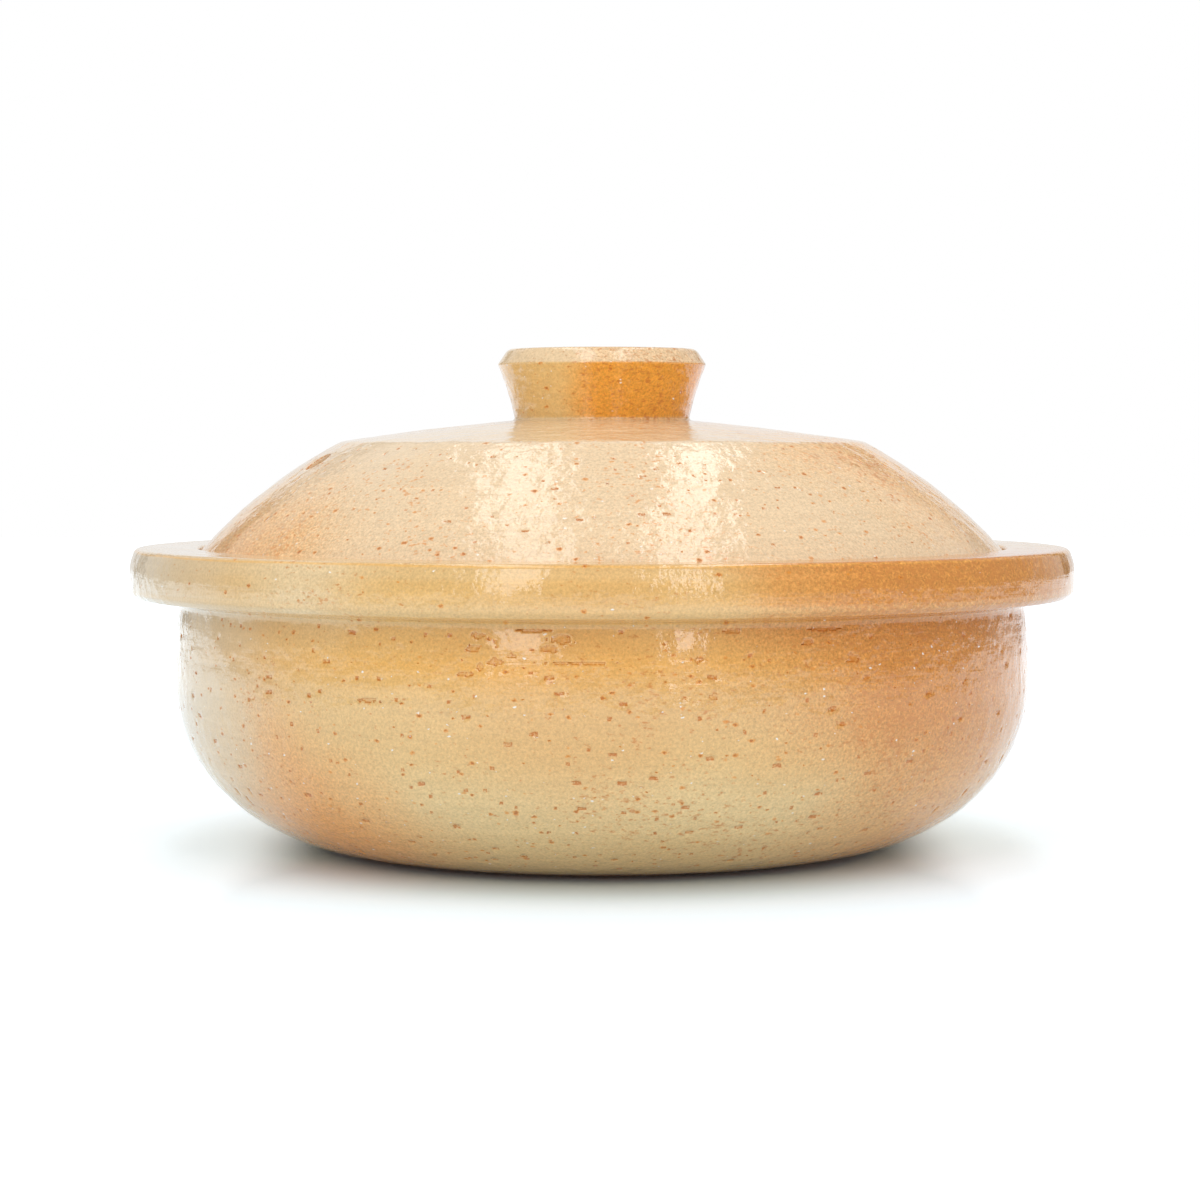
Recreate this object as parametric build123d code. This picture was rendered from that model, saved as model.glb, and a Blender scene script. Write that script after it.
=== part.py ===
from build123d import *
import os
from math import asin, degrees, sqrt

# A covered clay cooking pot, thrown on a wheel, glazed, and fired in two loose pieces.
# The pot has a low round bowl and a wide flange, by which it is carried. The lid sits in a step
# sunk into that flange. The knob is a ring, thrown by itself and luted to the lid with slip.
# Millimetres, +Z up. The origin is the middle of the foot, on the table, and the front faces -Y.
# Each section is drawn as radius and height, and is turned once round the axis.

# Bowl, outside
foot_radius = 75.0
foot_edge_width = 0.6
foot_edge_height = 0.8
belly_inset = 13.8
belly_height = 52.4
turn_radius = 48.0
turn_angle = 42.2
shoulder_radius = 200.0
neck_bevel = 1.8

# Bowl, inside and underneath
wall = 7.5
floor_thickness = 8.0
foot_ring_width = 13.0
foot_recess = 1.5
mouth_lip_height = 3.2
mouth_bevel = 1.2

# Flange
flange_radius = 145.0
flange_top_height = 92.4
flange_thickness = 16.2
underside_rise = 1.5
underside_bevel = 1.7
brow_height = 7.9
brow_lean = 1.6
brow_bevel = 1.1

# Step in the flange, which takes the lid
flange_top_width = 20.5
seat_depth = 6.4
seat_width = 10.5
seat_edge_bevel = 0.9

# Lid
lid_side_gap = 1.0
lid_wall = 6.5
rim_band_height = 5.2
rim_foot_bevel = 0.8
dome_width = 42.9
dome_rise = 33.5
crease_inner_bevel = 4.0
crown_rise = 6.5
knob_seat_margin = 1.0

# Steam hole, bored square to the dome
vent_radius = 4.25
vent_below_crease = 11.9
vent_turn = 69.0
vent_overrun = 3.0

# Knob
knob_base_radius = 27.0
knob_flare = 5.1
knob_height = 22.0
knob_bevel_height = 4.7
knob_bevel_width = 3.1
knob_top_bevel = 0.8
knob_top_width = 5.0
knob_well_bevel = 1.0
knob_base_width = 7.0

# Places that follow from the sizes above
belly_radius = flange_radius - belly_inset
seat_height = flange_top_height - seat_depth
seat_radius = flange_radius - flange_top_width
mouth_radius = seat_radius - seat_width
rim_radius = seat_radius - lid_side_gap
rim_height = seat_height + rim_band_height
crease_radius = rim_radius - dome_width
crease_height = rim_height + dome_rise
crown_height = crease_height + crown_rise
knob_top_height = crown_height + knob_height
knob_lip_radius = knob_base_radius + knob_flare
knob_top_radius = knob_lip_radius - knob_bevel_width


def turned(section):
    """The solid that a section makes when it is turned once round the axis."""
    return revolve(Plane.XZ * section, Axis.Z)


def section_of(outline):
    """The flat section that a closed run of lines and arcs goes round."""
    return make_face([edge for line in outline for edge in line.edges()])


def bevelled(section, bevels):
    """A section with the corner at each named point cut off by the length beside it."""
    for point, length in bevels:
        section = chamfer(section.vertices().sort_by_distance(point)[0], length)
    return section


def pot_body():
    """Bowl, flange and lid seat, thrown as one piece with a turned foot."""
    belly = (belly_radius, belly_height)
    underside_height = flange_top_height - flange_thickness
    foot_edge = (foot_radius, foot_edge_height)
    ring_inside = foot_radius - foot_ring_width
    foot = Polyline(
        (0, foot_recess),
        (ring_inside - foot_recess, foot_recess),
        (ring_inside, 0),
        (foot_radius - foot_edge_width, 0),
        foot_edge,
    )

    # Outside of the bowl: three arcs, each tangent to the next, with the widest place at the belly.
    turn = JernArc(belly, (0, -1), turn_radius, -turn_angle)
    base = TangentArc(turn @ 1, foot_edge, tangent=turn % 1)
    neck_height = underside_height - neck_bevel
    shoulder_angle = degrees(asin((neck_height - belly_height) / shoulder_radius))
    shoulder = JernArc(belly, (0, 1), shoulder_radius, shoulder_angle)
    neck = shoulder @ 1

    # Flange: the underside climbs a little to the rim, and the brow rolls over on to a flat top.
    lower_corner = (flange_radius, underside_height + underside_rise)
    brow_foot = (flange_radius, flange_top_height - brow_height)
    brow_top = (flange_radius - brow_lean, flange_top_height)
    rim = Polyline(neck, (neck.X + neck_bevel, underside_height), lower_corner, brow_foot)
    brow = TangentArc(brow_foot, brow_top, tangent=(0, 1))

    # Step for the lid, and the lip of the mouth.
    seat_edge = (seat_radius, flange_top_height)
    seat_corner = (seat_radius, seat_height)
    mouth = (mouth_radius, seat_height)
    lip_foot = (mouth_radius, seat_height - mouth_lip_height)
    step = Polyline(brow_top, seat_edge, seat_corner, mouth, lip_foot)

    # Inside of the bowl: one arc up to the lip, and one quarter turn down on to a flat floor.
    inner_belly = (belly_radius - wall, belly_height)
    inner_shoulder = TangentArc(inner_belly, lip_foot, tangent=(0, 1))
    floor_height = foot_recess + floor_thickness
    inner_turn = JernArc(inner_belly, (0, -1), belly_height - floor_height, -90)
    floor = Polyline(inner_turn @ 1, (0, floor_height), (0, foot_recess))

    outline = [foot, base, turn, shoulder, rim, brow, step, inner_shoulder, inner_turn, floor]
    bevels = [
        (lower_corner, underside_bevel),
        (brow_top, brow_bevel),
        (seat_edge, seat_edge_bevel),
        (mouth, mouth_bevel),
    ]
    return turned(bevelled(section_of(outline), bevels))


def centre_height(first, second):
    """How high on the axis lies the point that is as far from one point as from another."""
    return (first.dot(first) - second.dot(second)) / (2 * (first.Y - second.Y))


def cap_arc(first, second):
    """The arc between two points of a spherical cap, whose centre is on the axis."""
    centre = Vector(0, centre_height(first, second))
    return RadiusArc(first, second, -(first - centre).length)


def dome_ends():
    """Where the dome's outside begins at the shoulder of the rim, and where it ends at the crease."""
    return Vector(rim_radius, rim_height), Vector(crease_radius, crease_height)


def under_dome(radius):
    """The point at a radius on the dome's inside, which has the same centre as its outside."""
    shoulder, crease = dome_ends()
    centre = Vector(0, centre_height(shoulder, crease))
    inside = (shoulder - centre).length - lid_wall
    return centre + Vector(radius, sqrt(inside**2 - radius**2))


def lid_dome():
    """Lid of even thickness: a rim band that stands in the seat, a dome, a crease and a low crown."""
    shoulder, crease = dome_ends()
    rim_foot = Vector(rim_radius, seat_height)
    knob_seat = Vector(knob_base_radius + knob_seat_margin, crown_height)
    inner_shoulder = under_dome(rim_radius - lid_wall)
    inner_foot = Vector(inner_shoulder.X, seat_height)
    inner_crease = under_dome(crease_radius)
    under_knob = Vector(knob_seat.X, crown_height - lid_wall)

    outline = [
        Line(rim_foot, shoulder),
        cap_arc(shoulder, crease),
        Polyline(crease, knob_seat, (0, crown_height), (0, under_knob.Y), under_knob, inner_crease),
        cap_arc(inner_shoulder, inner_crease),
        Polyline(inner_shoulder, inner_foot, rim_foot),
    ]
    bevels = [(rim_foot, rim_foot_bevel), (inner_foot, rim_foot_bevel), (inner_crease, crease_inner_bevel)]
    return turned(bevelled(section_of(outline), bevels)) - steam_hole()


def steam_hole():
    """A round cutter that stands square to the dome, a set way below the crease."""
    dome = cap_arc(*dome_ends())
    share_up = 1 - vent_below_crease / dome.length
    centre = dome @ share_up
    along = dome % share_up
    bore_plane = Plane(origin=(centre.X, 0, centre.Y), x_dir=(0, 1, 0), z_dir=(along.Y, 0, -along.X))
    cutter = bore_plane * Cylinder(vent_radius, 2 * (lid_wall + vent_overrun))
    return Rot(Z=-90 - vent_turn) * cutter


def lid_knob():
    """Knob: a flared ring with a bevelled lip, open in the middle, so that it is also a foot."""
    top = (knob_top_radius, knob_top_height)
    well_top = (knob_top_radius - knob_top_width, knob_top_height)
    outline = Polyline(
        (knob_base_radius, crown_height),
        (knob_lip_radius, knob_top_height - knob_bevel_height),
        top,
        well_top,
        (knob_base_radius - knob_base_width, crown_height),
        close=True,
    )
    return turned(bevelled(section_of([outline]), [(top, knob_top_bevel), (well_top, knob_well_bevel)]))


os.makedirs("parts", exist_ok=True)
for make_piece in (pot_body, lid_dome, lid_knob):
    export_step(make_piece(), f"parts/{make_piece.__name__}.step")
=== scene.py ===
import math
import random
import bmesh
import bpy
from mathutils import Color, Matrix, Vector, noise


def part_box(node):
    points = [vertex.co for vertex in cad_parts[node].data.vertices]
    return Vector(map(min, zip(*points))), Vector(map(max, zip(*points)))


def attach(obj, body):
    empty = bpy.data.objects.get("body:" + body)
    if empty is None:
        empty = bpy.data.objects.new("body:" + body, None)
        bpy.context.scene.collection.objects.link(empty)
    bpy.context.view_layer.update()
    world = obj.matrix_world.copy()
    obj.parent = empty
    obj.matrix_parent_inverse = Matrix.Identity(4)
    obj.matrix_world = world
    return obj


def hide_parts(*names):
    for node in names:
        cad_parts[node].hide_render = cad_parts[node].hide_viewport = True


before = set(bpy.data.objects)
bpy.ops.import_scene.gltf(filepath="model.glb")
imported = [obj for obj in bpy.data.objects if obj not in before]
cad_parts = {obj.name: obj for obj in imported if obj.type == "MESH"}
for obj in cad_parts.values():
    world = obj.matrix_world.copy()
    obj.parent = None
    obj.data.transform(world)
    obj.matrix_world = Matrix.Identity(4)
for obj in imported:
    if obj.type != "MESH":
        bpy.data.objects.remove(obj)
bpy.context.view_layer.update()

# The pot: stoneware with a little grit in it, thrown in one piece on a wheel. The bowl, the wide
# flange and the step for the lid are one wall. The foot was turned flat when the clay was dry,
# and wiped clean of glaze, as was the step, so that lid and pot didn't fuse in the kiln.
foot_radius = 0.0750
foot_ring_inside = 0.0620
foot_recess = 0.0015
foot_edge_round = 0.0007
belly_radius = 0.1312
belly_height = 0.0524
turn_radius = 0.0480
turn_angle = math.radians(42.2)
shoulder_radius = 0.2000
neck_round = 0.0018
flange_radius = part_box("pot_body")[1].x
flange_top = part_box("pot_body")[1].z
flange_thickness = 0.0162
underside_rise = 0.0015
underside_bevel = 0.0017
underside_round = 0.0005
brow_height = 0.0079
brow_lean = 0.0016
brow_round = 0.0018
seat_radius = 0.1241
seat_depth = 0.0064
seat_edge_round = 0.0008
mouth_radius = 0.1140
mouth_round = 0.0012
mouth_lip = 0.0032
pot_wall = 0.0075
floor_height = 0.0095
outside_step = 0.0014
inside_step = 0.0050
floor_step = 0.030
foot_step = 0.020
seat_step = 0.0026
pot_sides = 576
pot_sectors = 16


def bend(start, heading, end, step):
    """The points after start on the arc that leaves it in a heading and ends at end."""
    chord = end - start
    turn = math.atan2(heading.x * chord.y - heading.y * chord.x, heading.dot(chord))
    count = max(1, round(chord.length / step))
    if abs(turn) < 1e-6:
        return [start.lerp(end, i / count) for i in range(1, count + 1)]
    base = math.atan2(heading.y, heading.x)
    points = []
    for i in range(1, count + 1):
        part = turn * i / count
        reach = chord.length * math.sin(part) / math.sin(turn)
        points.append(start + Vector((math.cos(base + part), math.sin(base + part))) * reach)
    return points


def straight(start, end, step):
    """The points after start on the line to end."""
    return bend(start, (end - start).normalized(), end, step)


def rounded(path, step):
    """Lines from corner to corner, each a radius, a height and how far from it the round begins."""
    at = [Vector(corner[:2]) for corner in path]
    points = [at[0]]
    for i in range(1, len(at) - 1):
        before = (at[i] - at[i - 1]).normalized()
        after = (at[i + 1] - at[i]).normalized()
        cut = path[i][2]
        points += straight(points[-1], at[i] - before * cut, step)
        if cut:
            points += bend(points[-1], before, at[i] + after * cut, max(cut / 3, 0.0003))
    return points + straight(points[-1], at[-1], step)


def turned(section, sides):
    """A bmesh of a section, given as radius and height, turned once round the axis, with clean poles.

    One sector is spun, then copied round and welded, since a spin of many steps is slow."""
    sector = 2 * math.pi / pot_sectors
    about = {"cent": (0, 0, 0), "axis": (0, 0, 1)}
    bm = bmesh.new()
    verts = [bm.verts.new((p.x, 0, p.y)) for p in section]
    edges = [bm.edges.new(pair) for pair in zip(verts, verts[1:])]
    if section[0].x > 0:
        edges.append(bm.edges.new((verts[-1], verts[0])))
    bmesh.ops.spin(bm, geom=verts + edges, angle=sector, steps=sides // pot_sectors, **about)
    bmesh.ops.remove_doubles(bm, verts=bm.verts, dist=1e-6)
    whole = bm.verts[:] + bm.edges[:] + bm.faces[:]
    rest = pot_sectors - 1
    bmesh.ops.spin(bm, geom=whole, angle=sector * rest, steps=rest, use_duplicate=True, **about)
    bmesh.ops.remove_doubles(bm, verts=bm.verts, dist=1e-6)
    bmesh.ops.recalc_face_normals(bm, faces=bm.faces)
    bm.normal_update()
    return bm


def piece_from(bm, name, material):
    """An object with smooth faces, at the origin, from a finished bmesh."""
    mesh = bpy.data.meshes.new(name)
    bm.to_mesh(mesh)
    bm.free()
    mesh.shade_smooth()
    mesh.materials.append(material)
    piece = bpy.data.objects.new(name, mesh)
    bpy.context.scene.collection.objects.link(piece)
    return piece


def throw_marks(bm, where, ring, wave):
    """Moves the surface in and out a little: rings left by fingers, and slow waves of a hand-held rib.

    Where says how much of them a vertex gets. The scales of the noise are in marks to the metre."""
    for v in bm.verts:
        amount = where(v)
        if not amount:
            continue
        across = math.hypot(v.co.x, v.co.y)
        along = Vector((v.co.x / across, v.co.y / across, 0)) * 0.35
        finger = noise.noise(along + Vector((0, 0, (v.co.z + across * 0.5) * 420)))
        slow = noise.noise(v.co * 38) + 0.6 * noise.noise(v.co * 95) + 0.4 * noise.noise(v.co * 210)
        v.co += v.normal * amount * (finger * ring + slow * wave)


def corners(face):
    """A face's corners in a fixed order, to sort faces by, since a weld leaves them in any order."""
    return sorted(v.co[:] for v in face.verts)


def verts_of(faces):
    """The vertices of some faces, in a fixed order."""
    return sorted({v for face in faces for v in face.verts}, key=lambda v: v.co[:])


def pick_faces(bm, where, count, seed):
    """Faces drawn at random, none next to another, from those that a test lets through."""
    draw = random.Random(seed)
    pool = sorted((f for f in bm.faces if where(f)), key=corners)
    taken, picked = set(), []
    while pool and len(picked) < count:
        face = draw.choice(pool)
        ring = {n for v in face.verts for n in v.link_faces}
        if not ring & taken:
            picked.append(face)
            taken |= ring
    return picked


def shake(verts, reach, draw):
    """Moves vertices about at random, along the surface and not off it."""
    for v in verts:
        step = Vector(draw.uniform(-reach, reach) for _ in range(3))
        v.co += step - v.normal * step.dot(v.normal)


def sink(bm, faces, rim, depth, draw, loose=0.00022, least=0.3, lip=0.0):
    """Lowers a patch of faces inside a ragged, sloping rim, and marks it in the pit attribute.

    The lip is what the attribute has at the rim. At the bottom it is between least and 1."""
    layer = bm.verts.layers.float.get("pit") or bm.verts.layers.float.new("pit")
    outer = verts_of(faces)
    shake(outer, loose, draw)
    bmesh.ops.inset_region(bm, faces=faces, thickness=rim, depth=-depth, use_even_offset=True)
    inner = verts_of(faces)
    shake(inner, loose / 2, draw)
    for v in outer:
        v[layer] = lip
    for v in inner:
        v[layer] = draw.uniform(least, 1.0)


def open_pits(bm, faces, seed):
    """Sinks single faces, and some with a neighbour, into small uneven pits of four sizes."""
    draw = random.Random(seed)
    rims = (0.00044, 0.00045, 0.00040, 0.00036)
    depths = (0.00020, 0.00014, 0.00028, 0.00032)
    for i, (rim, depth) in enumerate(zip(rims, depths)):
        share = faces[i :: len(rims)]
        if depth == max(depths):
            for face in share[:]:
                beside = [other for e in face.edges for other in e.link_faces if other is not face]
                share.append(min(beside, key=corners))
        sink(bm, share, rim, depth, draw)


down = Vector((0, -1))
up = Vector((0, 1))
seat_height = flange_top - seat_depth
belly = Vector((belly_radius, belly_height))
turn_end = belly + Vector((math.cos(turn_angle) - 1, -math.sin(turn_angle))) * turn_radius
turn_heading = Vector((-math.sin(turn_angle), -math.cos(turn_angle)))
foot_edge = Vector((foot_radius, foot_edge_round))
underside = flange_top - flange_thickness
neck_height = underside - neck_round
neck_rise = neck_height - belly_height
neck_in = shoulder_radius - math.sqrt(shoulder_radius**2 - neck_rise**2)
neck = Vector((belly_radius - neck_in, neck_height))
neck_heading = Vector((-neck_rise, shoulder_radius)).normalized()
neck_end = neck + Vector((neck_round, neck_round))

bowl_down = [belly] + bend(belly, down, turn_end, outside_step)
bowl_down += bend(turn_end, turn_heading, foot_edge, outside_step)
bowl_up = bend(belly, up, neck, outside_step)
bowl_up += bend(neck, neck_heading, neck_end, neck_round / 4)
foot = rounded(
    [
        (0, foot_recess),
        (foot_ring_inside - foot_recess, foot_recess, 0),
        (foot_ring_inside, 0, 0.0003),
        (foot_radius - foot_edge_round, 0),
    ],
    foot_step,
)
rim = rounded(
    [
        (neck.x + neck_round, underside),
        (flange_radius - underside_bevel, underside + underside_rise, underside_round),
        (flange_radius, underside + underside_rise + underside_bevel, underside_round),
        (flange_radius, flange_top - brow_height),
    ],
    outside_step,
)
brow_foot = Vector((flange_radius, flange_top - brow_height))
brow_end = Vector((flange_radius - brow_lean, flange_top))
brow_break = brow_end.lerp(brow_foot, brow_round / brow_height)
brow = bend(brow_foot, up, brow_break, outside_step)
step_down = rounded(
    [
        (brow_break.x, brow_break.y),
        (brow_end.x, brow_end.y, brow_round * 0.9),
        (seat_radius, flange_top, seat_edge_round),
        (seat_radius, seat_height, 0.0006),
        (mouth_radius, seat_height, mouth_round),
        (mouth_radius, seat_height - mouth_lip),
    ],
    seat_step,
)
inner_belly = Vector((belly_radius - pot_wall, belly_height))
inner_turn = belly_height - floor_height
lip_foot = Vector((mouth_radius, seat_height - mouth_lip))
inside_up = [inner_belly] + bend(inner_belly, up, lip_foot, inside_step)
inside_down = bend(inner_belly, down, inner_belly - Vector((inner_turn, inner_turn)), inside_step)
inside_floor = straight(inside_down[-1], Vector((0, floor_height)), floor_step)

pot_section = foot + bowl_down[::-1] + bowl_up + rim[1:] + brow + step_down[1:]
pot_section += inside_up[-2::-1] + inside_down + inside_floor
pot_bm = turned(pot_section, pot_sides)


bowl_rings = 0.00009
bowl_waves = 0.00014
marks_from = 0.003
marks_fade_in = 0.010
marks_fade_out = 0.004
pits_from = 0.006
pits_to = 0.0745
foot_margin = 0.004


def on_bowl(v):
    """How much of the throwing marks a point of the bowl's outside gets: none at the foot and the neck."""
    if v.co.z > neck_height or v.normal.x * v.co.x + v.normal.y * v.co.y <= 1e-6:
        return 0
    from_foot = max(0, v.co.z - marks_from) / marks_fade_in
    return min(1, from_foot) * min(1, (neck_height - v.co.z) / marks_fade_out)


throw_marks(pot_bm, on_bowl, bowl_rings, bowl_waves)


def bowl_face(face):
    """Is this a face of the bowl's outside, between the foot and the neck?"""
    centre = face.calc_center_median()
    outside = face.normal.x * centre.x + face.normal.y * centre.y > 0
    clear_of_foot = math.hypot(centre.x, centre.y) > foot_radius + foot_margin
    return outside and clear_of_foot and pits_from < centre.z < pits_to


def pluck(bm, scars, seed):
    """Opens the chips and the score line that a tool left in front, in a finer mesh than the rest.

    Each is given by how far to the side it is, its height, its length and its width."""
    draw = random.Random(seed)

    def off(face, scar, margin=0.0):
        """How far a face is from the middle of a scar: 1 is the scar's edge, or a margin beyond it."""
        centre = face.calc_center_median()
        aside, height, length, width = scar
        across = (centre.x - aside) / (length / 2 + margin)
        upward = (centre.z - height) / (width / 2 + margin)
        return math.hypot(across, upward)

    def in_front(face):
        return face.calc_center_median().y < front_from and bowl_face(face)

    def close_by(face):
        return in_front(face) and any(off(face, scar, scar_margin) < 1 for scar in scars)

    coarse = [face for face in bm.faces if close_by(face)]
    edges = list(dict.fromkeys(edge for face in coarse for edge in face.edges))
    bmesh.ops.subdivide_edges(bm, edges=edges, cuts=2, use_grid_fill=True)
    fine = [face for face in bm.faces if face.calc_area() < small_face and in_front(face)]
    for scar in scars:
        chipped = []
        for face in fine:
            ragged = scar_raggedness * noise.noise(face.calc_center_median() * scar_grain)
            if off(face, scar) + ragged < 1:
                chipped.append(face)
        sink(bm, chipped, scar_rim, scar_depth, draw, loose=0.00007, least=0.85, lip=0.3)


bowl_pits = 620
small_face = 4e-7
front_from = -0.1
scar_margin = 0.002
scar_raggedness = 0.7
scar_grain = 800
scar_rim = 0.00022
scar_depth = 0.00030
plucked = [
    (-0.0185, 0.0742, 0.0090, 0.0020),
    (-0.0105, 0.0716, 0.0066, 0.0022),
    (-0.0140, 0.0692, 0.0050, 0.0018),
    (-0.0068, 0.0653, 0.0190, 0.0007),
    (-0.0290, 0.0655, 0.0045, 0.0018),
    (-0.0248, 0.0672, 0.0026, 0.0016),
    (-0.0335, 0.0725, 0.0034, 0.0018),
    (-0.0350, 0.0690, 0.0040, 0.0020),
    (-0.0370, 0.0620, 0.0040, 0.0014),
    (-0.0330, 0.0642, 0.0022, 0.0016),
    (0.0260, 0.0660, 0.0020, 0.0018),
    (0.0350, 0.0738, 0.0042, 0.0018),
    (0.0610, 0.0738, 0.0090, 0.0016),
    (0.0560, 0.0700, 0.0030, 0.0022),
    (0.0690, 0.0655, 0.0034, 0.0024),
    (0.0730, 0.0600, 0.0030, 0.0016),
    (0.0300, 0.0560, 0.0020, 0.0018),
    (-0.0640, 0.0540, 0.0060, 0.0014),
]
pluck(pot_bm, plucked, 13)
pit_layer = pot_bm.verts.layers.float["pit"]


def whole_bowl_face(face):
    """Is this a face of the bowl's outside that is neither small nor next to a scar?"""
    if len(face.verts) != 4 or not bowl_face(face) or face.calc_area() < small_face:
        return False
    near = (v for corner in face.verts for f in corner.link_faces for v in f.verts)
    return not any(v[pit_layer] for v in near)


open_pits(pot_bm, pick_faces(pot_bm, whole_bowl_face, bowl_pits, 11), 12)


# The glaze: one pale, clear, glossy glaze over clay with white grit and iron in it. The groups below
# give the marks that it has on every piece; each material places them with its own values.
def srgb(red, green, blue):
    """A colour given as it looks on a screen, 0 to 255, as the values that a shader takes."""
    colour = Color((red / 255, green / 255, blue / 255)).from_srgb_to_scene_linear()
    return (*colour, 1)


def put(tree, kind, inputs=None, **settings):
    """A node with its settings. An input is a value, or the socket that it is linked from."""
    node = tree.nodes.new("ShaderNode" + kind)
    for name, value in settings.items():
        setattr(node, name, value)
    for name, value in (inputs or {}).items():
        if isinstance(value, bpy.types.NodeSocket):
            tree.links.new(value, node.inputs[name])
        else:
            node.inputs[name].default_value = value
    return node


def sums(tree, operation, first, second=0.0):
    """The result of a Math node."""
    return put(tree, "Math", {0: first, 1: second}, operation=operation).outputs[0]


def ramp(tree, value, low, high, smooth=True):
    """0 where a value is low, 1 where it is high. The bounds may be the other way round."""
    kind = "SMOOTHSTEP" if smooth else "LINEAR"
    return put(
        tree, "MapRange", {"Value": value, "From Min": low, "From Max": high}, interpolation_type=kind
    ).outputs["Result"]


def blend(tree, share, first, second, mode="MIX"):
    """One colour mixed into another."""
    mix = put(tree, "Mix", data_type="RGBA", blend_type=mode)
    for socket, value in ((mix.inputs[0], share), (mix.inputs[6], first), (mix.inputs[7], second)):
        if isinstance(value, bpy.types.NodeSocket):
            tree.links.new(value, socket)
        else:
            socket.default_value = value
    return mix.outputs[2]


def noise_of(tree, vector, scale, detail=3.0, rough=0.5):
    """The value of a noise that is measured in marks to the metre."""
    inputs = {"Vector": vector, "Scale": scale, "Detail": detail, "Roughness": rough}
    return put(tree, "TexNoise", inputs).outputs["Fac"]


def group(name, inputs, outputs):
    """An empty node group with float or vector sockets, and its two end nodes."""
    tree = bpy.data.node_groups.new(name, "ShaderNodeTree")
    for sockets, way in ((inputs, "INPUT"), (outputs, "OUTPUT")):
        for title, kind in sockets.items():
            tree.interface.new_socket(name=title, in_out=way, socket_type="NodeSocket" + kind)
    return tree, tree.nodes.new("NodeGroupInput"), tree.nodes.new("NodeGroupOutput")


def place(tree, shared, inputs):
    """A shared group, placed in a material with that material's values."""
    node = tree.nodes.new("ShaderNodeGroup")
    node.node_tree = shared
    for name, value in inputs.items():
        if isinstance(value, bpy.types.NodeSocket):
            tree.links.new(value, node.inputs[name])
        else:
            node.inputs[name].default_value = value
    return node


def wandering(tree, vector, scale, reach):
    """A point moved a little way at random, so that an edge drawn from it wanders."""
    drift = put(tree, "TexNoise", {"Vector": vector, "Scale": scale, "Detail": 4.0}).outputs["Color"]
    drift = put(tree, "VectorMath", {0: drift, 1: (0.5, 0.5, 0.5)}, operation="SUBTRACT").outputs[0]
    shift = put(tree, "VectorMath", {0: drift, "Scale": reach}, operation="SCALE").outputs[0]
    return put(tree, "VectorMath", {0: vector, 1: shift}, operation="ADD").outputs[0]


def build_blush():
    """A soft patch round a point, with an edge that wanders: where the flame coloured the glaze, and in
    one place a painted reflection.
    """
    tree, start, end = group(
        "Soft_Patch",
        {"Place": "Vector", "Centre": "Vector", "Reach": "Float", "Fade": "Float", "Wander": "Float"},
        {"Mask": "Float"},
    )
    moved = wandering(tree, start.outputs["Place"], 24.0, start.outputs["Wander"])
    ends = {0: moved, 1: start.outputs["Centre"]}
    away = put(tree, "VectorMath", ends, operation="DISTANCE").outputs["Value"]
    inner = sums(tree, "SUBTRACT", start.outputs["Reach"], start.outputs["Fade"])
    tree.links.new(ramp(tree, away, start.outputs["Reach"], inner), end.inputs["Mask"])
    return tree


def build_band():
    """A belt round the piece between two heights: for glaze that ran thick or thin, and for some painted
    highlights and painted light.
    """
    tree, start, end = group(
        "Height_Band",
        {"Place": "Vector", "Low": "Float", "High": "Float", "Fade": "Float", "Wander": "Float"},
        {"Mask": "Float"},
    )
    moved = wandering(tree, start.outputs["Place"], 30.0, start.outputs["Wander"])
    height = put(tree, "SeparateXYZ", {"Vector": moved}).outputs["Z"]
    above = sums(tree, "SUBTRACT", height, start.outputs["Low"])
    below = sums(tree, "SUBTRACT", start.outputs["High"], height)
    inside = sums(tree, "DIVIDE", sums(tree, "MINIMUM", above, below), start.outputs["Fade"])
    tree.links.new(ramp(tree, inside, 0.0, 1.0), end.inputs["Mask"])
    return tree


def build_flecks():
    """Orange flecks where iron breaks through: dragged ones in drifts, and fine ones where it is rich."""
    tree, start, end = group("Iron_Flecks", {"Place": "Vector", "Amount": "Float"}, {"Mask": "Float"})
    squashed = put(
        tree, "VectorMath", {0: start.outputs["Place"], 1: (1.0, 1.0, 2.0)}, operation="MULTIPLY"
    ).outputs[0]
    dragged = noise_of(tree, squashed, 480.0, 5.0, 0.62)
    drift = noise_of(tree, start.outputs["Place"], 26.0, 4.0, 0.6)
    more = sums(tree, "SUBTRACT", start.outputs["Amount"], 0.5)
    raised = sums(tree, "ADD", dragged, sums(tree, "MULTIPLY", sums(tree, "SUBTRACT", drift, 0.5), 0.4))
    raised = sums(tree, "ADD", raised, sums(tree, "MULTIPLY", more, 0.16))
    fine = noise_of(tree, start.outputs["Place"], 1300.0, 3.0, 0.6)
    fine = sums(tree, "ADD", fine, sums(tree, "MULTIPLY", more, 0.25))
    fine = sums(tree, "MULTIPLY", ramp(tree, fine, 0.55, 0.75), 0.6)
    mask = sums(tree, "MAXIMUM", ramp(tree, raised, 0.57, 0.70), fine)
    tree.links.new(mask, end.inputs["Mask"])
    return tree


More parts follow.
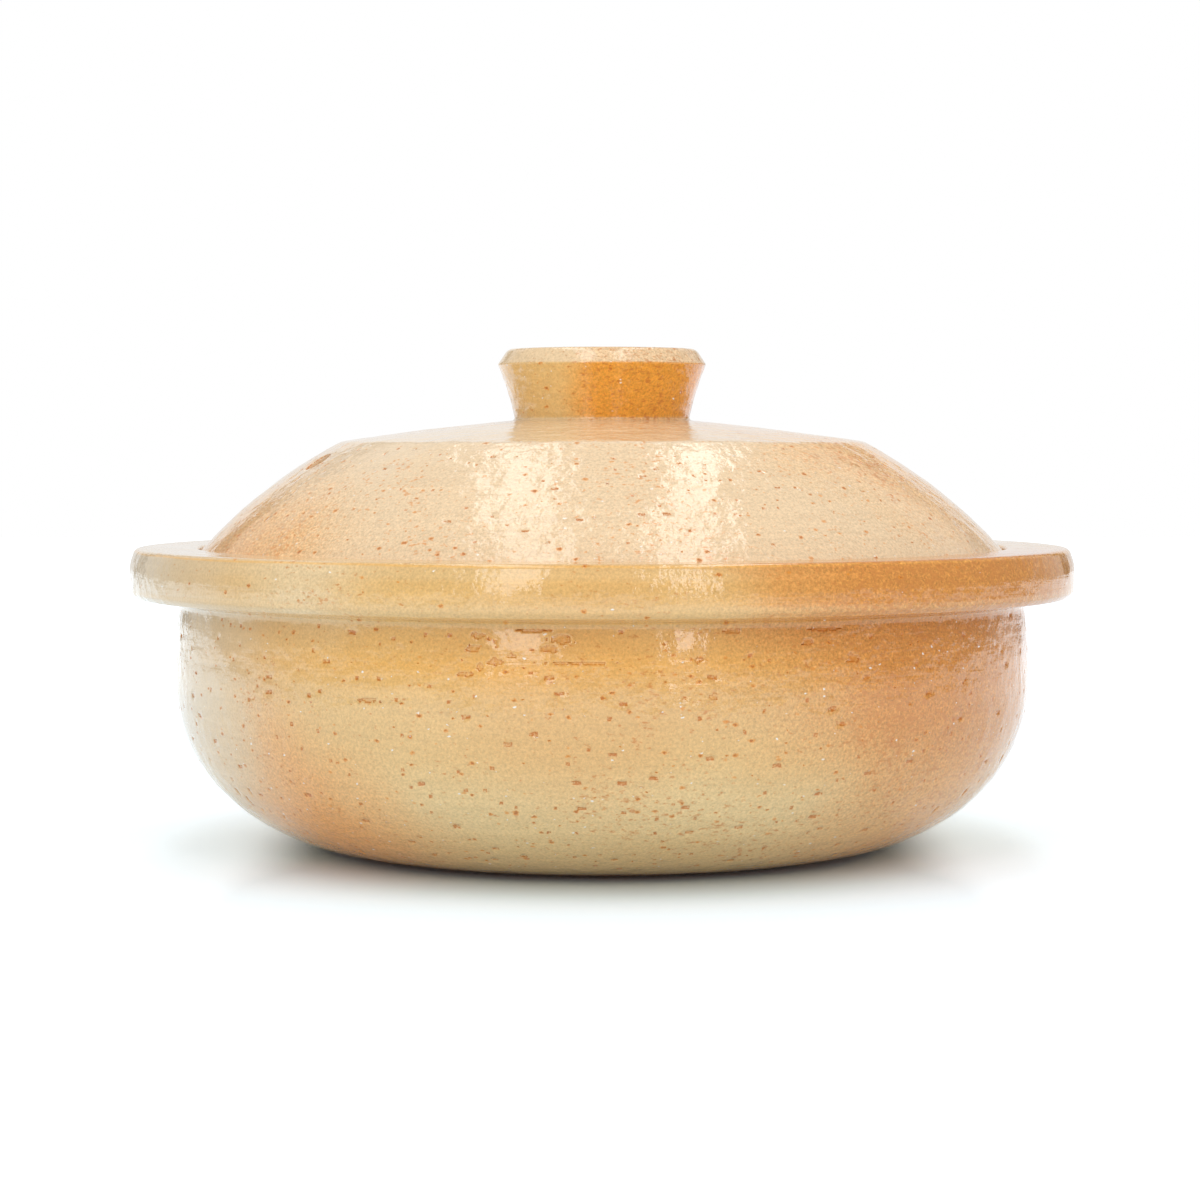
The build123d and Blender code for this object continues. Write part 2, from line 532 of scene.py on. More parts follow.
def build_grit():
    """White grit that shows through the glaze, and pits: a brown middle in an uneven orange stain."""
    tree, start, end = group(
        "Grit_and_Pits",
        {"Place": "Vector", "Grit": "Float", "Pits": "Float"},
        {"Grit": "Float", "Pits": "Float", "Stain": "Float"},
    )
    ragged = wandering(tree, start.outputs["Place"], 1100.0, 0.0011)
    squashed = put(tree, "VectorMath", {0: ragged, 1: (1.0, 1.0, 1.6)}, operation="MULTIPLY").outputs[0]
    for title, cells, size in (("Grit", 380.0, 0.12), ("Pits", 420.0, 0.14)):
        cell = put(tree, "TexVoronoi", {"Vector": squashed, "Scale": cells}, feature="F1")
        luck = put(tree, "SeparateColor", {"Color": cell.outputs["Color"]})
        chosen = sums(tree, "LESS_THAN", luck.outputs["Red"], start.outputs[title])
        growth = sums(tree, "POWER", luck.outputs["Green"], 2.0)
        radius = sums(tree, "ADD", sums(tree, "MULTIPLY", growth, size * 1.5), size * 0.6)
        edge = sums(tree, "MULTIPLY", radius, 0.45)
        spot = sums(tree, "MULTIPLY", ramp(tree, cell.outputs["Distance"], radius, edge), chosen)
        tree.links.new(spot, end.inputs[title])
    wide = sums(tree, "MULTIPLY", radius, 1.9)
    stain = sums(tree, "MULTIPLY", ramp(tree, cell.outputs["Distance"], wide, radius), chosen)
    tree.links.new(stain, end.inputs["Stain"])
    return tree


def build_lines():
    """Fine lines that run round the piece, left by the wheel. Tilt says how far they follow the radius."""
    tree, start, end = group(
        "Wheel_Lines", {"Place": "Vector", "Tilt": "Float", "Fineness": "Float"}, {"Lines": "Float"}
    )
    split = put(tree, "SeparateXYZ", {"Vector": start.outputs["Place"]})
    flat = put(tree, "CombineXYZ", {"X": split.outputs["X"], "Y": split.outputs["Y"]}).outputs[0]
    across = put(tree, "VectorMath", {0: flat}, operation="LENGTH").outputs["Value"]
    along = put(tree, "VectorMath", {0: flat}, operation="NORMALIZE").outputs[0]
    rise = sums(tree, "ADD", split.outputs["Z"], sums(tree, "MULTIPLY", across, start.outputs["Tilt"]))
    rise = sums(tree, "MULTIPLY", rise, start.outputs["Fineness"])
    height = put(tree, "CombineXYZ", {"Z": rise}).outputs[0]
    point = put(
        tree, "VectorMath", {0: along, 1: (2.6, 2.6, 2.6), 2: height}, operation="MULTIPLY_ADD"
    ).outputs[0]
    tree.links.new(noise_of(tree, point, 1.0, 4.0, 0.65), end.inputs["Lines"])
    return tree


soft_patch = build_blush()
height_band = build_band()
iron_flecks = build_flecks()
grit_and_pits = build_grit()
wheel_lines = build_lines()
pit_brown = srgb(188, 98, 16)
stain_orange = srgb(226, 138, 38)
grit_white = srgb(255, 248, 236)
glaze_edge_brown = srgb(124, 68, 34)
bare_clay = srgb(236, 158, 92)
dark_clay = srgb(208, 126, 66)
fleck_strength = 0.75
grit_strength = 0.85
pit_strength = 0.75
pit_stain = 0.65
scar_wall = 0.65
scar_stain = 0.45
glaze_edge_strength = 0.9
wheel_fineness = 520.0
grain_fineness = 1250.0
glaze_roughness = 0.06
clay_roughness = 0.85
glaze_ior = 1.55
bump_depth = 0.0006


def glaze(name, base, iron, bands, patches, edges, flecks, grit, pits, bumps, wander, tilt, calm, bare):
    """The glazed clay of one piece.

    Bands, then patches, then edges are laid over the base colour. The last value of a patch says how much
    more iron shows in it. Between the calm heights few pits and grains of grit show. Bare rings are
    given by height and radius."""
    material = bpy.data.materials.new(name)
    material.use_nodes = True
    tree = material.node_tree
    shader = tree.nodes["Principled BSDF"]
    spot = put(tree, "TexCoord").outputs["Object"]

    def belts(colour, rings):
        for tint, share, low, high, fade, uneven in rings:
            sockets = {"Place": spot, "Low": low, "High": high, "Fade": fade, "Wander": uneven}
            belt = place(tree, height_band, sockets).outputs["Mask"]
            colour = blend(tree, sums(tree, "MULTIPLY", belt, share), colour, tint)
        return colour

    colour = belts(base, bands)
    for tint, share, centre, reach, fade, more in patches:
        sockets = {"Place": spot, "Centre": centre, "Reach": reach, "Fade": fade, "Wander": wander}
        patch = place(tree, soft_patch, sockets).outputs["Mask"]
        colour = blend(tree, sums(tree, "MULTIPLY", patch, share), colour, tint)
        if more:
            flecks = sums(tree, "ADD", flecks, sums(tree, "MULTIPLY", patch, more))
    colour = belts(colour, edges)

    lines = place(tree, wheel_lines, {"Place": spot, "Tilt": tilt, "Fineness": wheel_fineness})
    lines = lines.outputs["Lines"]
    grain = noise_of(tree, spot, grain_fineness, 3.0, 0.75)
    contrast = sums(tree, "ADD", sums(tree, "MULTIPLY", flecks, 1.9), 0.1)
    shade = sums(tree, "MULTIPLY", sums(tree, "SUBTRACT", grain, 0.5), contrast)
    shade = sums(tree, "ADD", shade, sums(tree, "MULTIPLY", sums(tree, "SUBTRACT", lines, 0.5), 0.22))
    shade = sums(tree, "ADD", shade, 1.0)
    shade = put(tree, "CombineColor", {0: shade, 1: shade, 2: shade}).outputs[0]
    colour = blend(tree, 1.0, colour, shade, "MULTIPLY")
    specks = place(tree, iron_flecks, {"Place": spot, "Amount": flecks}).outputs["Mask"]
    colour = blend(tree, sums(tree, "MULTIPLY", specks, fleck_strength), colour, iron)

    sockets = {"Place": spot, "Low": calm[0], "High": calm[1], "Fade": 0.001, "Wander": 0.0}
    quiet = place(tree, height_band, sockets).outputs["Mask"]
    busy = sums(tree, "SUBTRACT", 1.0, sums(tree, "MULTIPLY", quiet, 0.8))
    grit = sums(tree, "MULTIPLY", busy, grit)
    pits = sums(tree, "MULTIPLY", busy, pits)
    marks = place(tree, grit_and_pits, {"Place": spot, "Grit": grit, "Pits": pits})
    for title, strength, tint in (
        ("Stain", pit_stain, stain_orange),
        ("Pits", pit_strength, pit_brown),
        ("Grit", grit_strength, grit_white),
    ):
        colour = blend(tree, sums(tree, "MULTIPLY", marks.outputs[title], strength), colour, tint)

    # The modelled pits and scars: orange inside, and brown on their walls.
    sunk = put(tree, "Attribute", attribute_name="pit", attribute_type="GEOMETRY").outputs["Fac"]
    patchy = ramp(tree, noise_of(tree, spot, 1300.0, 2.0), 0.30, 0.55)
    wall = sums(tree, "MULTIPLY", ramp(tree, sunk, 0.1, 0.45), ramp(tree, sunk, 1.0, 0.7))
    stain = sums(tree, "MULTIPLY", ramp(tree, sunk, 0.0, 0.35), ramp(tree, sunk, 1.2, 0.7))
    stain = sums(tree, "MULTIPLY", stain, patchy)
    wall = sums(tree, "MULTIPLY", wall, patchy)
    colour = blend(tree, sums(tree, "MULTIPLY", stain, scar_stain), colour, stain_orange)
    colour = blend(tree, sums(tree, "MULTIPLY", wall, scar_wall), colour, pit_brown)

    split = put(tree, "SeparateXYZ", {"Vector": spot})
    flat = put(tree, "CombineXYZ", {"X": split.outputs["X"], "Y": split.outputs["Y"]}).outputs[0]
    across = put(tree, "VectorMath", {0: flat}, operation="LENGTH").outputs["Value"]
    uneven = sums(tree, "MULTIPLY", sums(tree, "SUBTRACT", noise_of(tree, spot, 70.0, 4.0), 0.5), 0.0012)
    height = sums(tree, "ADD", split.outputs["Z"], uneven)
    unglazed = edge = sums(tree, "MULTIPLY", across, 0.0)
    for low, high, inside, outside in bare:
        beyond = sums(tree, "GREATER_THAN", across, inside)
        ring = sums(tree, "MULTIPLY", beyond, sums(tree, "LESS_THAN", across, outside))
        ring = sums(tree, "MULTIPLY", ring, ramp(tree, height, low - 0.0002, low + 0.0002))
        here = sums(tree, "MULTIPLY", ramp(tree, height, high + 0.0002, high - 0.0002), ring)
        near = sums(tree, "MULTIPLY", ramp(tree, height, high + 0.0008, high), ring)
        unglazed = sums(tree, "MAXIMUM", unglazed, here)
        edge = sums(tree, "MAXIMUM", edge, near)
    colour = blend(tree, sums(tree, "MULTIPLY", edge, glaze_edge_strength), colour, glaze_edge_brown)
    clay = blend(tree, noise_of(tree, spot, 700.0, 4.0, 0.7), dark_clay, bare_clay)
    colour = blend(tree, unglazed, colour, clay)
    tree.links.new(colour, shader.inputs["Base Color"])

    dull = sums(tree, "MULTIPLY", sums(tree, "SUBTRACT", noise_of(tree, spot, 160.0, 3.0), 0.5), 0.08)
    rough = sums(tree, "ADD", dull, glaze_roughness)
    rough = sums(tree, "ADD", rough, sums(tree, "MULTIPLY", marks.outputs["Pits"], 0.3))
    rough = sums(tree, "MAXIMUM", rough, sums(tree, "MULTIPLY", unglazed, clay_roughness))
    tree.links.new(rough, shader.inputs["Roughness"])

    bumpy = ramp(tree, noise_of(tree, spot, 34.0, 3.0), 0.35, 0.65)
    swell = sums(tree, "ADD", sums(tree, "MULTIPLY", bumpy, 0.8), 0.3)
    relief = sums(tree, "MULTIPLY", noise_of(tree, spot, 210.0, 4.0, 0.52), swell)
    relief = sums(tree, "MULTIPLY", relief, bumps)
    relief = sums(tree, "ADD", relief, sums(tree, "MULTIPLY", lines, 0.15))
    relief = sums(tree, "SUBTRACT", relief, sums(tree, "MULTIPLY", marks.outputs["Pits"], 0.35))
    relief = sums(tree, "ADD", relief, sums(tree, "MULTIPLY", marks.outputs["Grit"], 0.15))
    bump = put(tree, "Bump", {"Strength": 0.8, "Distance": bump_depth, "Height": relief})
    tree.links.new(bump.outputs["Normal"], shader.inputs["Normal"])
    shader.inputs["IOR"].default_value = glaze_ior
    return material


# The kiln left the pot tan in the middle and brown at the right, more orange close under the flange
# and khaki low down. The cream at the far left is partly a painted reflection of the white room, and
# close under the flange the orange is partly painted light against the flange's shade. On the flange
# the glaze is pale at both edges, and at the lower edge this is partly a painted highlight.
pot_tan = srgb(228, 188, 127)
pot_amber_and_painted_light = srgb(242, 180, 88)
pot_orange = srgb(232, 166, 92)
foot_orange = srgb(240, 162, 78)
pot_brown = srgb(218, 146, 70)
pot_cream_and_reflection = srgb(228, 206, 174)
pot_khaki = srgb(236, 206, 152)
pot_iron = srgb(206, 132, 66)
flange_amber = srgb(228, 178, 104)
flange_pale_and_highlight = srgb(226, 186, 126)
flange_cream = srgb(234, 206, 162)
pot_glaze = glaze(
    "Pot_Glaze",
    pot_tan,
    pot_iron,
    [
        (pot_khaki, 0.85, 0.004, 0.042, 0.018, 0.008),
        (pot_amber_and_painted_light, 0.90, 0.051, 0.078, 0.020, 0.008),
        # Partly painted light: this thin orange belt lightens the flange's shade on the bowl close under
        # it.
        (pot_amber_and_painted_light, 0.20, 0.0655, 0.0980, 0.006, 0.004),
        # The flange is pale; at its lower edge, below the amber belt, this is partly a painted highlight.
        (flange_pale_and_highlight, 1.0, 0.0772, 0.0950, 0.0008, 0.0),
        (flange_amber, 0.55, 0.0808, 0.0892, 0.0024, 0.002),
    ],
    [
        (foot_orange, 0.85, (-0.084, -0.078, 0.012), 0.058, 0.052, 0.3),
        (foot_orange, 0.60, (0.094, -0.066, 0.012), 0.060, 0.055, 0.2),
        (pot_brown, 0.22, (-0.004, -0.131, 0.058), 0.055, 0.040, 0.0),
        # Partly a painted reflection: the pale cream at the far left, where the white room shines in the
        # glaze.
        (pot_cream_and_reflection, 0.90, (-0.148, -0.022, 0.082), 0.122, 0.090, -0.3),
        (flange_cream, 0.80, (-0.084, -0.122, 0.100), 0.036, 0.030, 0.0),
        (pot_brown, 0.65, (0.060, -0.134, 0.100), 0.040, 0.030, 0.0),
        (pot_brown, 0.95, (0.106, -0.116, 0.086), 0.095, 0.062, 0.7),
        (pot_brown, 0.90, (0.128, -0.044, 0.060), 0.070, 0.062, 0.3),
        (pot_cream_and_reflection, 0.70, (0.050, 0.130, 0.060), 0.100, 0.095, 0.0),
        (pot_orange, 0.70, (-0.080, 0.110, 0.070), 0.080, 0.080, 0.4),
        (pot_khaki, 0.70, (0.120, 0.060, 0.030), 0.070, 0.070, 0.0),
    ],
    [
        (pot_amber_and_painted_light, 0.5, 0.0912, 0.0922, 0.0005, 0.001),
        # Partly a painted highlight: the pale line along the lower edge of the flange's face.
        (flange_pale_and_highlight, 0.3, 0.0786, 0.0812, 0.0008, 0.001),
    ],
    flecks=0.38,
    grit=0.28,
    pits=0.20,
    bumps=0.95,
    wander=0.040,
    tilt=0.6,
    calm=(0.0768, 0.0990),
    bare=[
        (-0.001, 0.0014, 0.0, 0.090),
        (seat_height - 0.0004, flange_top - 0.0024, mouth_radius + 0.0006, seat_radius + 0.001),
    ],
)
pot = piece_from(pot_bm, "pot", pot_glaze)
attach(pot, "pot")
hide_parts("pot_body")

# The lid: the same clay, thrown upside down as a shallow bowl. Its rim stands in the step of the pot,
# loose by a millimetre. A sharp crease parts the dome from the low crown. One steam hole was
# punched through the dome while the clay was soft, and glazed over with the rest.
lid_low, lid_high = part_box("lid_dome")
rim_radius = lid_high.x
rim_band = 0.0052
rim_foot_round = 0.0008
shoulder_round = 0.0009
crease_radius = 0.0806
crease_height = 0.1247
crease_round = 0.0011
dome_bulge = 0.00245
crown_bulge = 0.0004
knob_seat_radius = 0.0280
lid_wall = 0.0065
dome_step = 0.0011
lid_inside_step = 0.0030
lid_sides = 576
hole_radius = 0.00425
hole_lip = 0.0003
hole_below_crease = 0.0119
hole_turn = math.radians(69)
dome_pits = 300
dome_rings = 0.00006
dome_waves = 0.00018
dome_marks_fade = 0.006
knob_margin = 0.034
inner_crease_drop = 0.0009
inner_shoulder_round = 0.0016
inner_crown_round = 0.004
rim_step = 0.0012


def bulged(start, end, bulge, step):
    """The points after start on the arc to end that stands proud of the straight line by a bulge."""
    half = math.atan2(2 * bulge, (end - start).length)
    chord = (end - start).normalized()
    turn = 2 * half
    heading = Vector((
        chord.x * math.cos(turn) + chord.y * math.sin(turn),
        chord.y * math.cos(turn) - chord.x * math.sin(turn),
    ))
    return bend(start, heading, end, step)


shoulder = Vector((rim_radius, lid_low.z + rim_band))
crease = Vector((crease_radius, crease_height))
knob_seat = Vector((knob_seat_radius, lid_high.z))
dome = [shoulder] + bulged(shoulder, crease, dome_bulge, dome_step)
crown = [crease] + bulged(crease, knob_seat, crown_bulge, dome_step)
slope = (crease - shoulder).normalized()
into_clay = Vector((-slope.y, slope.x)) * lid_wall
inner_rim = rim_radius - lid_wall
inner_rise = (inner_rim - shoulder.x - into_clay.x) * slope.y / slope.x
inner_shoulder = Vector((inner_rim, shoulder.y + into_clay.y + inner_rise))
inner_crease = crease + into_clay + Vector((0, -inner_crease_drop))
inner_crown = Vector((knob_seat_radius, lid_high.z - lid_wall))

lid_section = rounded([(knob_seat.x, knob_seat.y), (0, knob_seat.y)], 0.004)[::-1]
lid_section += crown[-2:0:-1]
lid_section += rounded([(*crown[1], 0), (*crease, crease_round), (*dome[-2], 0)], dome_step)[1:]
lid_section += dome[-3:0:-1]
lid_section += rounded(
    [
        (*dome[1], 0),
        (*shoulder, shoulder_round),
        (rim_radius, lid_low.z, rim_foot_round),
        (inner_rim, lid_low.z, rim_foot_round),
        (*inner_shoulder, inner_shoulder_round),
        (*inner_shoulder.lerp(inner_crease, 0.03), 0),
    ],
    rim_step,
)[1:]
lid_section += bulged(lid_section[-1], inner_crease, dome_bulge * 0.9, lid_inside_step)
under_crown = [(*inner_crease, 0), (*inner_crown, inner_crown_round), (0, inner_crown.y)]
lid_section += rounded(under_crown, lid_inside_step * 2)[1:]
lid_bm = turned(lid_section, lid_sides)


def on_dome(v):
    """How much of the throwing marks a point of the lid's outside gets: none at the rim and the knob."""
    if v.normal.z < 0.2 or v.co.z < shoulder.y + 0.0008:
        return 0
    from_knob = max(0, math.hypot(v.co.x, v.co.y) - knob_margin)
    return min(1, (v.co.z - shoulder.y) / dome_marks_fade) * min(1, from_knob / dome_marks_fade)


throw_marks(lid_bm, on_dome, dome_rings, dome_waves)

steps_down = hole_below_crease / (dome[-1] - dome[-2]).length
whole_steps = int(steps_down)
mouth = dome[-1 - whole_steps].lerp(dome[-2 - whole_steps], steps_down - whole_steps)
along_dome = (dome[-whole_steps] - dome[-3 - whole_steps]).normalized()
aside = Vector((-math.sin(hole_turn), -math.cos(hole_turn), 0))
hole_mouth = aside * mouth.x + Vector((0, 0, mouth.y))
hole_axis = aside * along_dome.y + Vector((0, 0, -along_dome.x))
hole_middle = hole_mouth - hole_axis * lid_wall / 2


def punch_steam_hole(bm):
    """Takes a round of faces out of both skins, draws each edge to a true circle, and joins the two."""

    def off_axis(point):
        away = point - hole_middle
        return away - hole_axis * away.dot(hole_axis)

    def in_the_way(face):
        centre = face.calc_center_median()
        return centre.dot(aside) > 0 and off_axis(centre).length < hole_radius + hole_lip * 2

    gone = [face for face in bm.faces if in_the_way(face)]
    bmesh.ops.delete(bm, geom=gone, context="FACES")
    rims = [e for e in bm.edges if e.is_boundary]
    outer = [e for e in rims if (e.verts[0].co - hole_middle).dot(hole_axis) > 0]
    inner = [e for e in rims if e not in set(outer)]
    layer = bm.verts.layers.float.new("pit")
    throats = []
    lip_round = ((hole_lip, 0), (hole_lip * 0.3, hole_lip * 0.3), (0, hole_lip))
    for edges, inward in ((outer, -1), (inner, 1)):
        for wider, deeper in lip_round:
            grown = bmesh.ops.extrude_edge_only(bm, edges=edges)["geom"]
            ring = [v for v in grown if isinstance(v, bmesh.types.BMVert)]
            edges = [e for e in grown if isinstance(e, bmesh.types.BMEdge)]
            for v in ring:
                away = off_axis(v.co)
                outward = away.normalized() * (hole_radius + wider - away.length)
                v.co += outward + hole_axis * inward * deeper
                v[layer] = deeper / hole_lip
        throats += edges
    bmesh.ops.bridge_loops(bm, edges=throats)
    bmesh.ops.recalc_face_normals(bm, faces=bm.faces)
    bm.normal_update()


punch_steam_hole(lid_bm)


def dome_face(face):
    """Is this a face of the dome's outside, clear of its edges and of the steam hole?"""
    centre = face.calc_center_median()
    across = math.hypot(centre.x, centre.y)
    between = crease_radius + 0.003 < across < rim_radius - 0.005
    return between and face.normal.z > 0.3 and face.calc_area() > small_face


open_pits(lid_bm, pick_faces(lid_bm, dome_face, dome_pits, 23), 24)

# The lid is paler than the pot, peach where the iron lies thick at the lower left, and orange at the
# right.
lid_pale = srgb(234, 206, 168)
lid_peach = srgb(236, 186, 132)
lid_orange = srgb(242, 194, 132)
lid_cream_and_highlight = srgb(238, 214, 180)
lid_iron = srgb(224, 150, 86)
lid_glaze = glaze(
    "Lid_Glaze",
    lid_pale,
    lid_iron,
    [],
    [
        (lid_orange, 0.8, (-0.110, -0.060, 0.090), 0.064, 0.055, 0.6),
        (lid_orange, 0.95, (0.085, -0.036, 0.130), 0.066, 0.055, 0.5),
        (lid_cream_and_highlight, 0.6, (-0.060, -0.060, 0.122), 0.050, 0.050, -0.2),
        (lid_orange, 0.7, (-0.030, 0.090, 0.110), 0.070, 0.068, 0.3),
        (lid_peach, 0.7, (0.080, 0.070, 0.105), 0.060, 0.058, 0.3),
    ],
    # A painted highlight: the pale line along the crease.
    [(lid_cream_and_highlight, 0.5, crease_height - 0.0008, crease_height + 0.0006, 0.0005, 0.0)],
    flecks=0.42,
    grit=0.28,
    pits=0.16,
    bumps=1.2,
    wander=0.035,
    tilt=-0.7,
    calm=(crease_height + 0.0002, 0.2),
    bare=[(0.0, lid_low.z + 0.0012, 0.1, 0.2)],
)
lid = piece_from(lid_bm, "lid", lid_glaze)
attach(lid, "lid")
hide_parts("lid_dome")


# The knob: a ring thrown by itself, turned to a flare with a bevelled lip, and luted to the crown with
# slip. Its hollow middle makes it a foot too, so that the lid can lie upside down as a dish.
knob_low, knob_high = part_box("lid_knob")
knob_base = 0.0270
knob_lip = knob_high.x
knob_top = 0.0290
knob_bevel_drop = 0.0047
knob_side_bulge = 0.0004
knob_lip_round = 0.0006
knob_top_round = 0.0014
knob_well_top = 0.0240
knob_well_base = 0.0200
knob_well_round = 0.0012
knob_fillet = 0.0009
fillet_step = 0.0003
knob_side_step = 0.0004
knob_step = 0.0007
knob_sides = 288

lip = Vector((knob_lip, knob_high.z - knob_bevel_drop))
slip_edge = Vector((knob_base + knob_fillet * 0.9, knob_low.z))
slip_top = Vector((knob_base, knob_low.z + knob_fillet))
slip_heading = Vector((-1, 0.25)).normalized()
knob_section = [slip_edge] + bend(slip_edge, slip_heading, slip_top, fillet_step)
side = bulged(slip_top, lip, -knob_side_bulge, knob_side_step)
knob_section += side[:-1]
knob_section += rounded(
    [
        (*side[-2], 0),
        (*lip, knob_lip_round * 0.6),
        (knob_top, knob_high.z, knob_top_round),
        (knob_well_top, knob_high.z, knob_well_round),
        (knob_well_base, knob_low.z),
    ],
    knob_step,
)[1:]
knob_bm = turned(knob_section, knob_sides)


def on_knob(v):
    """How much of the turning marks a point of the knob's side gets: none near the lip and the base."""
    if v.normal.x * v.co.x + v.normal.y * v.co.y < 0:
        return 0
    return min(1, max(0, v.co.z - knob_low.z - 0.001) / 0.002) * min(1, max(0, lip.y - v.co.z) / 0.0015)


for v in knob_bm.verts:
    amount = on_knob(v)
    if amount:
        across = math.hypot(v.co.x, v.co.y)
        turn = Vector((v.co.x / across, v.co.y / across, 0))
        rings = noise.noise(turn * 1.2 + Vector((0, 0, v.co.z * 700)))
        wrinkles = noise.noise(v.co * 420)
        v.co += v.normal * amount * (0.00005 * rings + 0.00009 * wrinkles)

knob_tan = srgb(232, 190, 122)
knob_orange = srgb(234, 160, 58)
knob_iron = srgb(198, 116, 46)
knob_glaze = glaze(
    "Knob_Glaze",
    knob_tan,
    knob_iron,
    [],
    [
        (knob_orange, 1.0, (0.026, -0.026, 0.140), 0.040, 0.012, 0.4),
        (knob_orange, 0.7, (-0.010, 0.034, 0.140), 0.022, 0.016, 0.3),
    ],
    [
        (lid_pale, 0.85, lip.y - 0.0002, 0.16, 0.0006, 0.001),
        (lid_pale, 0.5, 0.13, knob_low.z + 0.0010, 0.0004, 0.0),
    ],
    flecks=0.30,
    grit=0.26,
    pits=0.08,
    bumps=1.2,
    wander=0.010,
    tilt=-0.2,
    calm=(lip.y, 0.2),
    bare=[],
)
knob = piece_from(knob_bm, "knob", knob_glaze)
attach(knob, "lid")
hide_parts("lid_knob")


# The table: a plain matt white sweep, bright enough to vanish into the background, which keeps the
# shadow. Its own glow is seen by the camera and in the gloss alone, and lights nothing. The glow grows
# from the pot outwards and beside it, so it is painted light that makes the shadow paler at its edges
# and at its sides.
floor_span = 6.0
floor_white = (0.79, 0.91, 1.0, 1)
floor_glow = (0.96, 0.96, 0.97, 1)
near_painted_light = 0.24
near_lift_from = 0.098
near_lift_to = 0.145
side_painted_light = 0.35
side_lift_from = 0.084
side_lift_to = 0.112
far_lift = 0.36
far_lift_from = 0.20
far_lift_to = 0.80
floor_bm = bmesh.new()
bmesh.ops.create_grid(floor_bm, x_segments=4, y_segments=4, size=floor_span / 2)
floor_material = bpy.data.materials.new("White_Table")
floor_material.use_nodes = True
tree = floor_material.node_tree
shader = tree.nodes["Principled BSDF"]
shader.inputs["Base Color"].default_value = floor_white
shader.inputs["Roughness"].default_value = 0.9
shader.inputs["Specular IOR Level"].default_value = 0.0
shader.inputs["Emission Color"].default_value = floor_glow
rays = put(tree, "LightPath")
seen = sums(tree, "MAXIMUM", rays.outputs["Is Camera Ray"], rays.outputs["Is Glossy Ray"])
seen = sums(tree, "MAXIMUM", seen, rays.outputs["Is Transmission Ray"])
spot = put(tree, "TexCoord").outputs["Object"]
reach = put(tree, "VectorMath", {0: spot}, operation="LENGTH").outputs["Value"]
aside = sums(tree, "ABSOLUTE", put(tree, "SeparateXYZ", {"Vector": spot}).outputs["X"])
# Painted light on the floor: glow that pales the shadow away from the pot and beside it.
near = sums(tree, "MULTIPLY", ramp(tree, reach, near_lift_from, near_lift_to), near_painted_light)
beside = sums(tree, "MULTIPLY", ramp(tree, aside, side_lift_from, side_lift_to), side_painted_light)
near = sums(tree, "MAXIMUM", near, beside)
far = sums(tree, "MULTIPLY", ramp(tree, reach, far_lift_from, far_lift_to), far_lift)
glow = sums(tree, "MULTIPLY", seen, sums(tree, "ADD", near, far))
tree.links.new(glow, shader.inputs["Emission Strength"])
floor = piece_from(floor_bm, "floor", floor_material)

# The room: plain white all round for light and for the camera. In the gloss of the glaze the backdrop
# is white, a dark gap parts it from two side panels, and the rest of the room is dimmer.
room_level = 0.69
room_gloss = 0.30
panel_level = 0.65
panel_from = 0.50
panel_to = 0.80
gap_level = 0.10
gap_from = 0.845
backdrop_level = 0.88
backdrop_from = 0.903
sharpness = 0.010
world = bpy.data.worlds.new("Studio")
bpy.context.scene.world = world
world.use_nodes = True
tree = world.node_tree
rays = put(tree, "LightPath")
toward = put(tree, "SeparateXYZ", {"Vector": put(tree, "TexCoord").outputs["Generated"]}).outputs["Y"]
in_gloss = room_gloss
for low, high, change in (
    (panel_from, panel_to, panel_level - room_gloss),
    (gap_from - sharpness, gap_from + sharpness, gap_level - panel_level),
    (backdrop_from - sharpness, backdrop_from + sharpness, backdrop_level - gap_level),
):
    in_gloss = sums(tree, "ADD", sums(tree, "MULTIPLY", ramp(tree, toward, low, high), change), in_gloss)
level = sums(tree, "MULTIPLY", rays.outputs["Is Glossy Ray"], in_gloss)
seen = sums(tree, "MAXIMUM", rays.outputs["Is Camera Ray"], rays.outputs["Is Transmission Ray"])
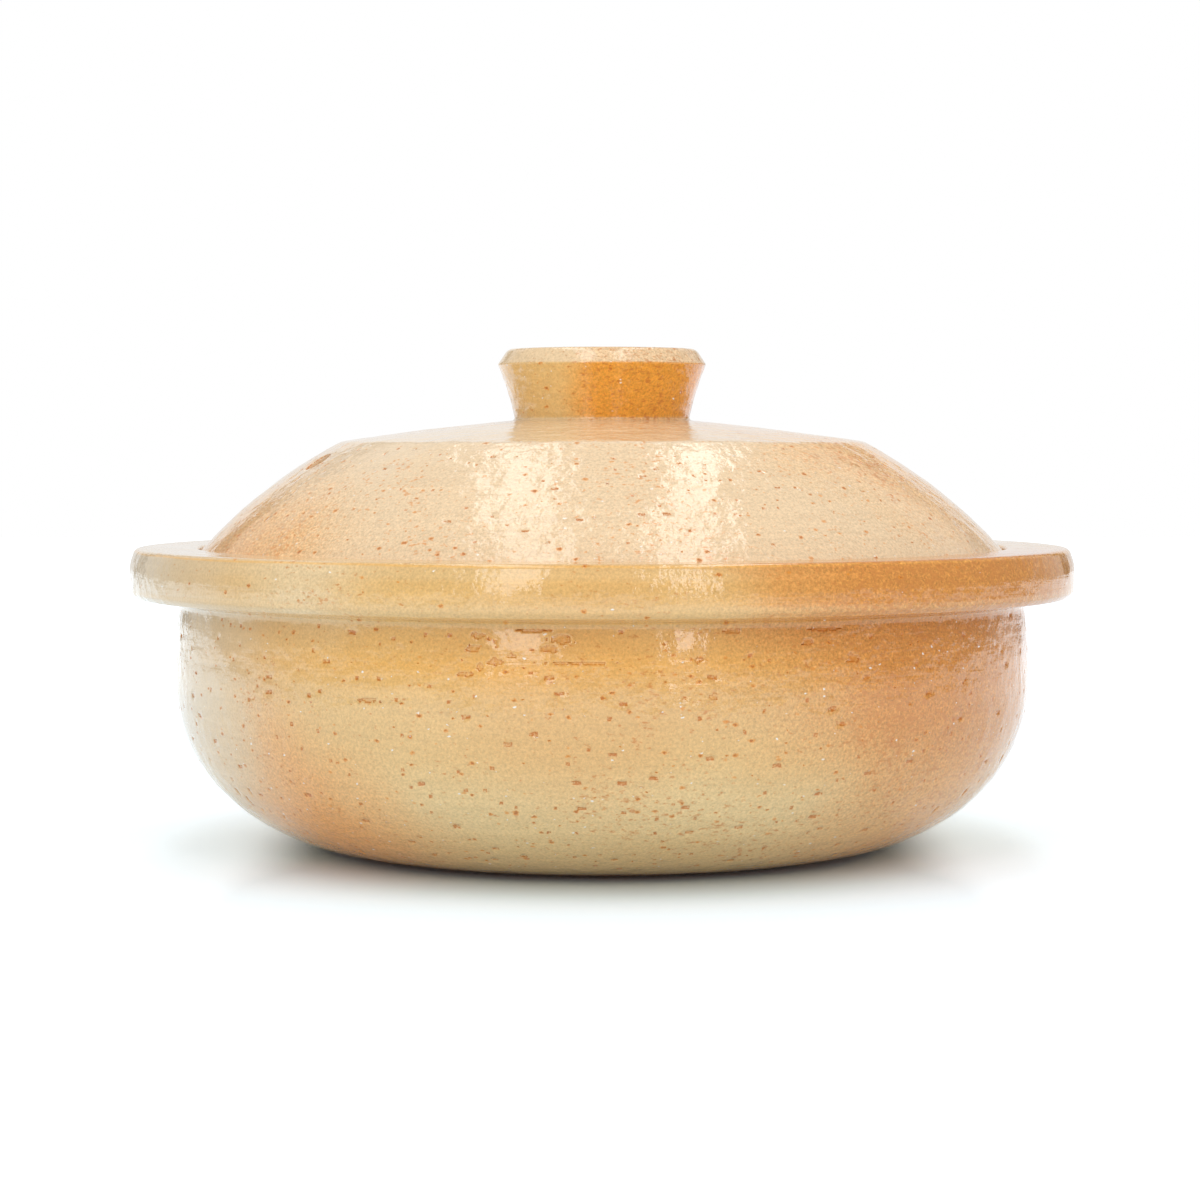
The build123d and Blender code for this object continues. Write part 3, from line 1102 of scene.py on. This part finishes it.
level = sums(tree, "ADD", level, seen)
level = sums(tree, "ADD", level, sums(tree, "MULTIPLY", rays.outputs["Is Diffuse Ray"], room_level))
background = tree.nodes["Background"]
background.inputs["Color"].default_value = (1, 1, 1, 1)
tree.links.new(level, background.inputs["Strength"])


# The lamps: two narrow soft boxes overhead, for the two streaks on the dome, and one on each side of
# the camera, for the gloss on the flange and the bowl.
def soft_box(name, place_at, aim, size, length, watts):
    """A rectangular lamp that shines at a point."""
    lamp = bpy.data.lights.new(name, "AREA")
    lamp.shape = "RECTANGLE"
    lamp.size = size
    lamp.size_y = length
    lamp.energy = watts
    holder = bpy.data.objects.new(name, lamp)
    holder.location = place_at
    holder.rotation_euler = (Vector(aim) - Vector(place_at)).to_track_quat("-Z", "Y").to_euler()
    bpy.context.scene.collection.objects.link(holder)


lamp_height = 1.5
soft_box("top_left", (-0.31, 0.15, lamp_height), (-0.31, 0.15, 0), 0.25, 1.70, 3.8)
soft_box("top_right", (0.35, 0.15, lamp_height), (0.35, 0.15, 0), 0.23, 1.70, 4.3)
soft_box("front_left", (-0.52, -1.42, 0.67), (0, 0, 0.06), 0.32, 1.1, 4.0)
soft_box("front_right", (0.52, -1.42, 0.67), (0, 0, 0.06), 0.23, 1.1, 3.5)

# The camera: a long lens nearly level with the lid, as the photograph was taken. It stands a little
# less than a metre away and dips by three degrees.
camera_back = 0.9732
camera_height = 0.12564
camera_dip = math.radians(2.94)
focal_pixels = 3143.3
frame_pixels = 1200
middle_pixel = 602
camera_data = bpy.data.cameras.new("camera")
camera_data.sensor_width = 36.0
camera_data.lens = camera_data.sensor_width * focal_pixels / frame_pixels
camera_data.shift_x = (frame_pixels / 2 - middle_pixel) / frame_pixels
camera = bpy.data.objects.new("camera", camera_data)
camera.location = (0, -camera_back, camera_height)
camera.rotation_euler = (math.pi / 2 - camera_dip, 0, 0)
bpy.context.scene.collection.objects.link(camera)
bpy.context.scene.camera = camera
bpy.context.scene.view_settings.view_transform = "Standard"
